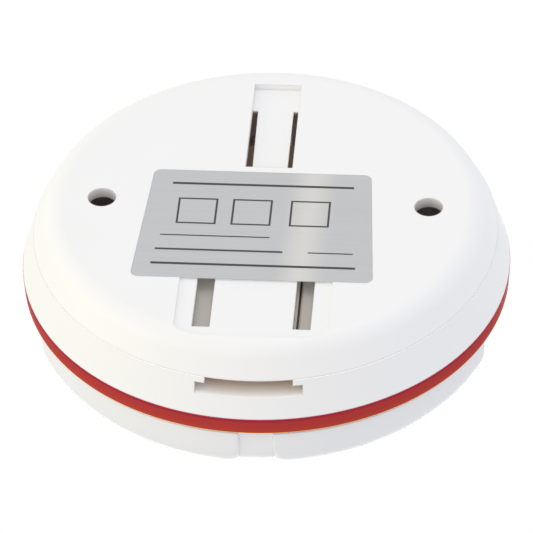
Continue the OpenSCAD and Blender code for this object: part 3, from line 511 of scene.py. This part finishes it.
def small_plastic(name, colour, roughness=0.45, edge=0.15):
    return moulded_plastic(name, colour, roughness, grain=0.2, drift=0.08, edge=edge)[0]


BASE = shell_of_base()
HOUSING = shell_of_housing()
TOP = shell_beside_web("white shell top", (0.845, 0.85, 0.863), 0.38, 0.2, 0.08, 0.25)
KEY = shell_beside_web("key shell", (0.838, 0.842, 0.855), 0.36, 0.22, 0.03, None)
BAND = red_band()
FOIL = label_foil()
INK = printed_ink()
GREY = battery_box_plastic()
SWITCH = small_plastic("switch black", (0.035, 0.036, 0.04), 0.5)
CREAM = small_plastic("plunger cream", (0.75, 0.70, 0.58), 0.4)
BOARD = glass_fibre_board()
CHIP = small_plastic("chip black", (0.03, 0.03, 0.033), 0.6, 0.08)
TAN = small_plastic("part tan", (0.48, 0.36, 0.22), 0.5, 0.08)
CAN = steel("can metal", (0.62, 0.63, 0.65), 0.28)
COPPER = steel("copper wire", (0.72, 0.36, 0.16), 0.3)
LED = small_plastic("led red", (0.62, 0.07, 0.05), 0.2)
LENS = lens_plastic()
CELL = steel("cell sleeve", (0.50, 0.40, 0.20), 0.35)
SPRING = steel("spring steel", (0.60, 0.61, 0.62), 0.25)
SCREW = steel("screw steel", (0.55, 0.56, 0.58), 0.32)

finishes = {
    "base_cover": BASE, "base_label": FOIL, "lower_housing": HOUSING, "trim_ring": BAND,
    "top_housing": TOP, "circuit_board": BOARD, "encoder_chip": CHIP, "resonator_can": CAN,
    "small_parts": TAN, "antenna_coil": COPPER, "indicator_led": LED, "indicator_lens": LENS,
    "battery_tray": GREY, "battery_lid": GREY, "battery": CELL, "battery_spring": SPRING,
    "battery_contact": SPRING, "board_screws": SCREW, "housing_screws": SCREW}
for name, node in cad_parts.items():
    if name.startswith("key_"):
        material = KEY
    elif name.startswith("switch_"):
        material = SWITCH
    elif name.startswith("plunger_"):
        material = CREAM
    else:
        material = finishes[name]
    node.data.materials.clear()
    node.data.materials.append(material)


# ---------------------------------------------------------------- mesh helpers
def mesh_piece(name, bm, material, body):
    """A mesh as a piece of the object that moves with a body."""
    bmesh.ops.remove_doubles(bm, verts=bm.verts, dist=1e-7)
    bmesh.ops.recalc_face_normals(bm, faces=bm.faces)
    mesh = bpy.data.meshes.new(name)
    bm.to_mesh(mesh)
    bm.free()
    mesh.materials.append(material)
    obj = bpy.data.objects.new(name, mesh)
    bpy.context.scene.collection.objects.link(obj)
    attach(obj, body)
    return obj


def bridge_rings(bm, rings):
    """Joins rings of as many points each with quads."""
    loops = [[bm.verts.new(p) for p in ring] for ring in rings]
    for a, b in zip(loops, loops[1:]):
        for i in range(len(a)):
            j = (i + 1) % len(a)
            bm.faces.new((a[i], a[j], b[j], b[i]))
    return loops


def arc(centre, radius, start, stop, count):
    return [(centre[0] + radius * math.cos(start + (stop - start) * i / count),
             centre[1] + radius * math.sin(start + (stop - start) * i / count)) for i in range(count)]


def straight(a, b, count):
    return [(a[0] + (b[0] - a[0]) * i / count, a[1] + (b[1] - a[1]) * i / count) for i in range(count)]


# ---------------------------------------------------------------- keys
def key_outline(inset, outer_r):
    """Plan of a key where x and y are positive, and how near each point is to a straight side."""
    x0, y0 = KEY_X + inset, KEY_Y + inset
    tip = KEY_TIP
    inner = max(KEY_CORNER - inset, 0.2)
    by_web = (x0 + tip, math.sqrt((outer_r - tip) ** 2 - (x0 + tip) ** 2))
    by_belt = (math.sqrt((outer_r - tip) ** 2 - (y0 + tip) ** 2), y0 + tip)
    corner = (x0 + inner, y0 + inner)
    web_angle = math.atan2(by_web[1], by_web[0])
    belt_angle = math.atan2(by_belt[1], by_belt[0])
    points = straight((corner[0], y0), (by_belt[0], y0), 26)
    points += arc(by_belt, tip, -math.pi / 2, belt_angle, 8)
    points += arc((0, 0), outer_r, belt_angle, web_angle, 56)
    points += arc(by_web, tip, web_angle, math.pi, 8)
    points += straight((x0, by_web[1]), (x0, corner[1]), 26)
    points += arc(corner, inner, math.pi, 1.5 * math.pi, 10)
    fade = [0.5 + 0.5 * math.cos(math.pi * i / 8) for i in range(8)]
    nearness = [1.0] * 26 + fade + [0.0] * 56 + [1 - f for f in fade] + [1.0] * 36
    return points, nearness


def dome_height(radius, drop=0.0):
    """Height of the keys' dome at a distance from the middle, drawn in by drop."""
    round_r = KEY_R - KEY_ROUND
    rise = KEY_CROWN - KEY_ROUND_Z + 0.02
    big = (round_r ** 2 + rise ** 2 - KEY_ROUND ** 2) / (2 * (rise - KEY_ROUND))
    low = KEY_CROWN - big
    meet = big * round_r / math.hypot(round_r, KEY_ROUND_Z - low)
    if radius <= meet:
        return low + math.sqrt((big - drop) ** 2 - radius ** 2)
    side = min(radius - round_r, KEY_ROUND - drop)
    return KEY_ROUND_Z + math.sqrt((KEY_ROUND - drop) ** 2 - side ** 2)


def rings_to_crown(last, drop, shares):
    """Smaller and smaller copies of a ring up the dome, and the point that they close on."""
    cx, cy = KEY_MIDDLE
    rings = []
    for share in shares:
        flat = [(cx + (x - cx) * share, cy + (y - cy) * share) for x, y in last]
        rings.append([(x, y, dome_height(math.hypot(x, y), drop)) for x, y in flat])
    return rings, (cx, cy, dome_height(math.hypot(cx, cy), drop))


def key_outer_rings():
    """Outside of a key from its foot over the soft edge and the round shoulder to the crown."""
    foot, _ = key_outline(0.0, KEY_R)
    soft, _ = key_outline(0.15, KEY_R - 0.15)
    rings = [[(x, y, KEY_FOOT_Z) for x, y in soft], [(x, y, KEY_FOOT_Z + 0.15) for x, y in foot]]
    steps = 6
    for k in range(steps + 1):
        angle = math.pi / 2 * k / steps
        inset = KEY_EDGE * (1 - math.cos(angle))
        drop = KEY_EDGE * (1 - math.sin(angle))
        shoulder = KEY_R - KEY_ROUND + KEY_ROUND * math.cos(math.radians(4 * k))
        points, nearness = key_outline(inset, shoulder)
        rings.append([(x, y, dome_height(math.hypot(x, y)) - drop * n)
                      for (x, y), n in zip(points, nearness)])
    shares = (0.97, 0.93, 0.89, 0.85, 0.81, 0.77, 0.73, 0.69, 0.64, 0.58, 0.5, 0.4, 0.28, 0.14)
    crown, peak = rings_to_crown(points, 0.0, shares)
    return rings + crown, peak


def key_inner_rings():
    """Inside of a key: the skirt, the ledge that clears the housing, and the hollow of the dome."""
    skirt_r = KEY_R - KEY_SKIRT
    hollow_round = KEY_ROUND - KEY_WALL
    step_r = KEY_R - KEY_ROUND + math.sqrt(hollow_round ** 2 - (KEY_CLEAR_Z - KEY_ROUND_Z) ** 2)
    wide, _ = key_outline(KEY_WALL, skirt_r)
    narrow, _ = key_outline(KEY_WALL, step_r)
    rings = [[(x, y, KEY_FOOT_Z) for x, y in wide], [(x, y, KEY_CLEAR_Z) for x, y in wide],
             [(x, y, KEY_CLEAR_Z) for x, y in narrow]]
    crown, peak = rings_to_crown(narrow, KEY_WALL, (1.0, 0.93, 0.84, 0.75, 0.66, 0.55, 0.4, 0.2))
    return rings + crown, peak


def add_post(bm, x, y, low, high, radius, edge=0.15, sides=28):
    """A round post with a softened lower end, open at its top inside the key."""
    def ring(r, z):
        return [(x + r * math.cos(2 * math.pi * i / sides), y + r * math.sin(2 * math.pi * i / sides), z)
                for i in range(sides)]
    loops = bridge_rings(bm, [ring(radius - edge, low), ring(radius, low + edge), ring(radius, high)])
    bm.faces.new(loops[0])
    bm.faces.new(loops[-1])


def add_hook(bm, x, y, low, high):
    """A flat hook with a barb that points outwards."""
    angle = math.atan2(y, x) + math.pi / 2
    width, thick, barb, barb_h = 3.0, 1.2, 0.7, 1.2
    inner, outer = thick / 2, -thick / 2
    profile = [(outer - barb + 0.35, low), (inner, low), (inner, high), (outer, high),
               (outer, low + barb_h), (outer - barb, low + barb_h), (outer - barb, low + 0.45)]
    sides = []
    for u in (-width / 2, width / 2):
        sides.append([bm.verts.new((x + u * math.cos(angle) - v * math.sin(angle),
                                    y + u * math.sin(angle) + v * math.cos(angle), z)) for v, z in profile])
    count = len(profile)
    for i in range(count):
        j = (i + 1) % count
        bm.faces.new((sides[0][i], sides[0][j], sides[1][j], sides[1][i]))
    bm.faces.new(sides[0])
    bm.faces.new(list(reversed(sides[1])))


def make_key(place):
    """A petal key as one moulded shell, with rounded edges, its stem, two guide pins and two hooks."""
    front, left = place.startswith("front"), place.endswith("left")
    bm = bmesh.new()
    outer, top = key_outer_rings()
    inner, roof = key_inner_rings()
    loops_out = bridge_rings(bm, outer)
    loops_in = bridge_rings(bm, inner)
    for loop, peak in ((loops_out[-1], top), (loops_in[-1], roof)):
        tip = bm.verts.new(peak)
        for i in range(len(loop)):
            bm.faces.new((loop[i], loop[(i + 1) % len(loop)], tip))
    for i in range(len(loops_out[0])):
        j = (i + 1) % len(loops_out[0])
        bm.faces.new((loops_out[0][i], loops_out[0][j], loops_in[0][j], loops_in[0][i]))
    bmesh.ops.recalc_face_normals(bm, faces=bm.faces)
    hook_r, web_hook_x, belt_hook_y = 34.65, 9.0, 19.6
    hooks = [(web_hook_x, math.sqrt(hook_r ** 2 - web_hook_x ** 2)),
             (math.sqrt(hook_r ** 2 - belt_hook_y ** 2), belt_hook_y)]
    guide_y, into_shell = 20.6, 27.0
    add_post(bm, 15.0, 23.0, 19.8, into_shell, 2.5)
    for guide_x in (7.0, hooks[1][0] - 4.1):
        add_post(bm, guide_x, guide_y, 18.6, into_shell, 1.2)
    for x, y in hooks:
        add_hook(bm, x, y, 17.95, dome_height(math.hypot(x, y), KEY_WALL) + 0.5)
    flip = Matrix.Diagonal((-1 if left else 1, -1 if front else 1, 1, 1))
    bmesh.ops.transform(bm, matrix=Matrix.Rotation(TOP_TURN, 4, "Z") @ flip, verts=bm.verts)
    bmesh.ops.scale(bm, vec=(MM, MM, MM), verts=bm.verts)
    piece = mesh_piece("petal_key_" + place, bm, KEY, "key_" + place + "_body")
    piece.data.shade_smooth()
    piece.data.set_sharp_from_angle(angle=math.radians(42))
    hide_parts("key_" + place)
    return piece


for place in ("front_left", "front_right", "back_left", "back_right"):
    make_key(place)


# ---------------------------------------------------------------- label print
def add_bar(bm, x0, y0, x1, y1, z0=0.012, z1=0.029):
    """A printed bar as a very thin block on the label's face."""
    low = [bm.verts.new(p) for p in ((x0, y0, z0), (x1, y0, z0), (x1, y1, z0), (x0, y1, z0))]
    high = [bm.verts.new(p) for p in ((x0, y0, z1), (x1, y0, z1), (x1, y1, z1), (x0, y1, z1))]
    bm.faces.new(list(reversed(low)))
    bm.faces.new(high)
    for i in range(4):
        j = (i + 1) % 4
        bm.faces.new((low[i], low[j], high[j], high[i]))


def add_box_outline(bm, x0, y0, x1, y1, line):
    """An empty box of four printed bars."""
    add_bar(bm, x0, y0, x1, y0 + line)
    add_bar(bm, x0, y1 - line, x1, y1)
    add_bar(bm, x0, y0 + line, x0 + line, y1 - line)
    add_bar(bm, x1 - line, y0 + line, x1, y1 - line)


def make_label_print():
    """Plain ruled lines and empty boxes, such as a blank form has."""
    bm = bmesh.new()
    box_side, box_y, box_line = 7.0, -6.4, 0.35
    for x in (8.2, -1.4, -11.6):
        add_box_outline(bm, x, box_y, x + box_side, box_y + box_side, box_line)
    ruled = ((4.6, -15.4, 16.6, 0.55), (-9.6, -1.5, 17.6, 0.28), (-13.4, -4.0, 18.2, 0.45),
             (-13.4, -16.2, -8.4, 0.28), (-17.2, -16.8, 18.6, 0.55))
    for y, x0, x1, thickness in ruled:
        add_bar(bm, x0, y - thickness / 2, x1, y + thickness / 2)
    bmesh.ops.scale(bm, vec=(MM, MM, MM), verts=bm.verts)
    return mesh_piece("label_ruling", bm, INK, "base")


make_label_print()


# ---------------------------------------------------------------- studio
def add_camera():
    """A far camera below the table, as in the photograph."""
    data = bpy.data.cameras.new("camera")
    data.lens = 288.5
    data.sensor_width = 36
    data.clip_start = 0.05
    data.clip_end = 5
    obj = bpy.data.objects.new("camera", data)
    obj.location = Vector((-51.66, -575.77, -477.32)) * MM
    obj.rotation_euler = [math.radians(a) for a in (-130.4208, -1.1641, 175.8616)]
    bpy.context.scene.collection.objects.link(obj)
    bpy.context.scene.camera = obj


def add_softbox(name, place, size, power, colour=(1, 1, 1)):
    """A round soft light, aimed at the middle of the object."""
    data = bpy.data.lights.new(name, "AREA")
    data.shape = "DISK"
    data.size = size
    data.energy = power
    data.color = colour
    obj = bpy.data.objects.new(name, data)
    obj.location = place
    aim = Vector((0, 0, 0.012)) - Vector(place)
    obj.rotation_euler = aim.to_track_quat("-Z", "Y").to_euler()
    obj.visible_camera = False
    bpy.context.scene.collection.objects.link(obj)


def add_world():
    """Even soft light all round; the camera and the gloss see plain white."""
    world = bpy.data.worlds.new("studio")
    bpy.context.scene.world = world
    world.use_nodes = True
    tree = world.node_tree
    tree.nodes.clear()
    out = tree.nodes.new("ShaderNodeOutputWorld")
    mix = tree.nodes.new("ShaderNodeMixShader")
    soft = tree.nodes.new("ShaderNodeBackground")
    white = tree.nodes.new("ShaderNodeBackground")
    rays = tree.nodes.new("ShaderNodeLightPath")
    soft.inputs[0].default_value = (0.815, 0.815, 0.82, 1)
    white.inputs[0].default_value = (1, 1, 1, 1)
    seen = math_node(tree, "MAXIMUM", rays.outputs["Is Camera Ray"], rays.outputs["Is Glossy Ray"])
    seen = math_node(tree, "MAXIMUM", seen, rays.outputs["Is Transmission Ray"])
    tree.links.new(seen, mix.inputs[0])
    tree.links.new(soft.outputs[0], mix.inputs[1])
    tree.links.new(white.outputs[0], mix.inputs[2])
    tree.links.new(mix.outputs[0], out.inputs[0])


def add_floor():
    """Pale floor that is seen from above only, so that the underside can be looked at."""
    mesh = bpy.data.meshes.new("floor")
    reach = 1.2
    mesh.from_pydata([(-reach, -reach, 0), (reach, -reach, 0), (reach, reach, 0), (-reach, reach, 0)],
                     [], [(0, 1, 2, 3)])
    obj = bpy.data.objects.new("floor", mesh)
    obj.location.z = -0.0002
    material = bpy.data.materials.new("floor")
    material.use_nodes = True
    tree = material.node_tree
    tree.nodes.clear()
    out = tree.nodes.new("ShaderNodeOutputMaterial")
    mix = tree.nodes.new("ShaderNodeMixShader")
    clear = tree.nodes.new("ShaderNodeBsdfTransparent")
    pale = tree.nodes.new("ShaderNodeBsdfDiffuse")
    rays = tree.nodes.new("ShaderNodeLightPath")
    side = tree.nodes.new("ShaderNodeNewGeometry")
    place = tree.nodes.new("ShaderNodeTexCoord")
    speckle = noise(tree, place.outputs["Object"], 60.0, 2.0)
    tree.links.new(mix_colour(tree, speckle, (0.85, 0.85, 0.85), (0.87, 0.87, 0.87)), pale.inputs[0])
    front = math_node(tree, "SUBTRACT", 1.0, side.outputs["Backfacing"])
    both = math_node(tree, "MULTIPLY", front, rays.outputs["Is Camera Ray"])
    tree.links.new(both, mix.inputs[0])
    tree.links.new(clear.outputs[0], mix.inputs[1])
    tree.links.new(pale.outputs[0], mix.inputs[2])
    tree.links.new(mix.outputs[0], out.inputs[0])
    mesh.materials.append(material)
    bpy.context.scene.collection.objects.link(obj)


add_camera()
add_world()
add_floor()
add_softbox("left light", (0.80, -0.66, -0.56), 0.8, 1.8, (1, 0.90, 0.84))
add_softbox("low left light", (1.15, -0.25, -0.15), 0.8, 1.75, (1, 1, 0.36))
add_softbox("right light", (-1.02, -0.12, -0.60), 0.8, 1.0, (0.25, 0.42, 1))
add_softbox("under light", (0.0, 0.35, -1.2), 0.8, 1.8)
add_softbox("top light", (0.0, 0.80, 1.1), 0.9, 4.6)

bpy.context.scene.view_settings.view_transform = "Standard"
